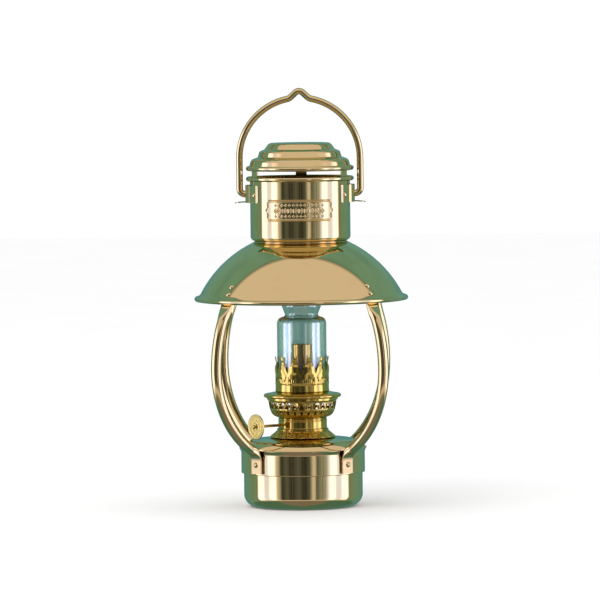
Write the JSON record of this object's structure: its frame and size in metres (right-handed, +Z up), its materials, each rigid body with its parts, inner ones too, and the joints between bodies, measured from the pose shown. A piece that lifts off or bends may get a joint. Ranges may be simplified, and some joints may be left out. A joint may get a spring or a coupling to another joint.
{
  "type": "ship lantern",
  "caption": "Brass ship's oil lantern: hanging bail, vented head, domed shade on bowed legs, screw-in round-wick burner, glass chimney and a drop-out font.",
  "frame": {"origin": "centre of the font's underside, on the lantern's axis", "axes": "+Z up along the lantern's axis, -Y towards the front plate, +X through the right-hand ear"},
  "size_m": [0.19, 0.19, 0.3713],
  "materials": {
    "brass": "polished and lacquered",
    "burner_brass": "bright pressed sheet",
    "glass": "clear, faintly green",
    "wick": "woven cotton",
    "cork": "cork composition"
  },
  "bodies": {
    "lantern_frame": {"vent_cap": "brass", "cap_posts": "brass", "head_drum": "brass", "front_plate": "brass", "ear_left": "brass", "ear_right": "brass", "ear_rivets": "brass", "neck_ring": "brass", "chimney_guide": "brass", "shade": "brass", "leg_front_left": "brass", "leg_front_right": "brass", "leg_rear_right": "brass", "leg_rear_left": "brass", "shade_rivets": "brass", "foot_rivets": "brass", "support_band": "brass", "spring_clips": "brass"},
    "bail": {"bail_handle": "brass"},
    "font": {"font_body": "brass", "font_dome": "brass", "font_collar": "brass", "filler_neck": "brass"},
    "filler_seal": {"filler_washer": "cork"},
    "filler": {"filler_cap": "brass"},
    "burner_seal": {"burner_gasket": "cork"},
    "burner": {"burner_base": "burner_brass", "burner_body": "burner_brass", "spindle_bracket": "burner_brass", "air_basket": "burner_brass", "gallery_flange": "burner_brass", "chimney_crown": "burner_brass", "wick_tube": "burner_brass", "draught_tube": "burner_brass"},
    "wick_winder": {"wick_spindle": "burner_brass", "wick_sprockets": "burner_brass", "wick_knob": "burner_brass", "knob_rivet": "burner_brass"},
    "wick": {"wick": "wick"},
    "chimney": {"glass_chimney": "glass"}
  },
  "joints": [
    {"name": "bail_swing", "type": "hinge", "parent": "lantern_frame", "child": "bail", "pos_m": [0, 0, 0.2775], "axis": [1, 0, 0], "range_deg": [-118, 118]},
    {"name": "font_drop", "type": "slide", "parent": "lantern_frame", "child": "font", "axis": [0, 0, -1], "range_m": [0, 0.28]},
    {"name": "filler_washer_rise", "type": "slide", "parent": "font", "child": "filler_seal", "axis": [0, 0, 1], "range_m": [0, 0.0046]},
    {"name": "filler_cap_unscrew", "type": "hinge", "parent": "filler_seal", "child": "filler", "pos_m": [0, 0.0378, 0.0611], "axis": [0, 0, 1], "range_deg": [0, 1080]},
    {"name": "burner_rise", "type": "slide", "parent": "font", "child": "burner_seal", "axis": [0, 0, 1], "range_m": [0, 0.0061]},
    {"name": "burner_unscrew", "type": "hinge", "parent": "burner_seal", "child": "burner", "pos_m": [0, 0, 0.0614], "axis": [0, 0, 1], "range_deg": [0, 1080]},
    {"name": "wick_rise", "type": "slide", "parent": "burner", "child": "wick", "axis": [0, 0, 1], "range_m": [-0.006, 0.004]},
    {"name": "wick_knob_turn", "type": "hinge", "parent": "burner", "child": "wick_winder", "pos_m": [-0.00492, 0.00592, 0.0721], "axis": [-0.7694, -0.6388, 0], "range_deg": [-106, 71]},
    {"name": "chimney_lift", "type": "slide", "parent": "burner", "child": "chimney", "axis": [0, 0, 1], "range_m": [0, 0.018]}
  ],
  "couplings": [
    {"joint": "filler_washer_rise", "follows": "filler_cap_unscrew", "m_per_rad": 0.00023873},
    {"joint": "burner_rise", "follows": "burner_unscrew", "m_per_rad": 0.00031831},
    {"joint": "wick_knob_turn", "follows": "wick_rise", "rad_per_m": 307.69}
  ]
}
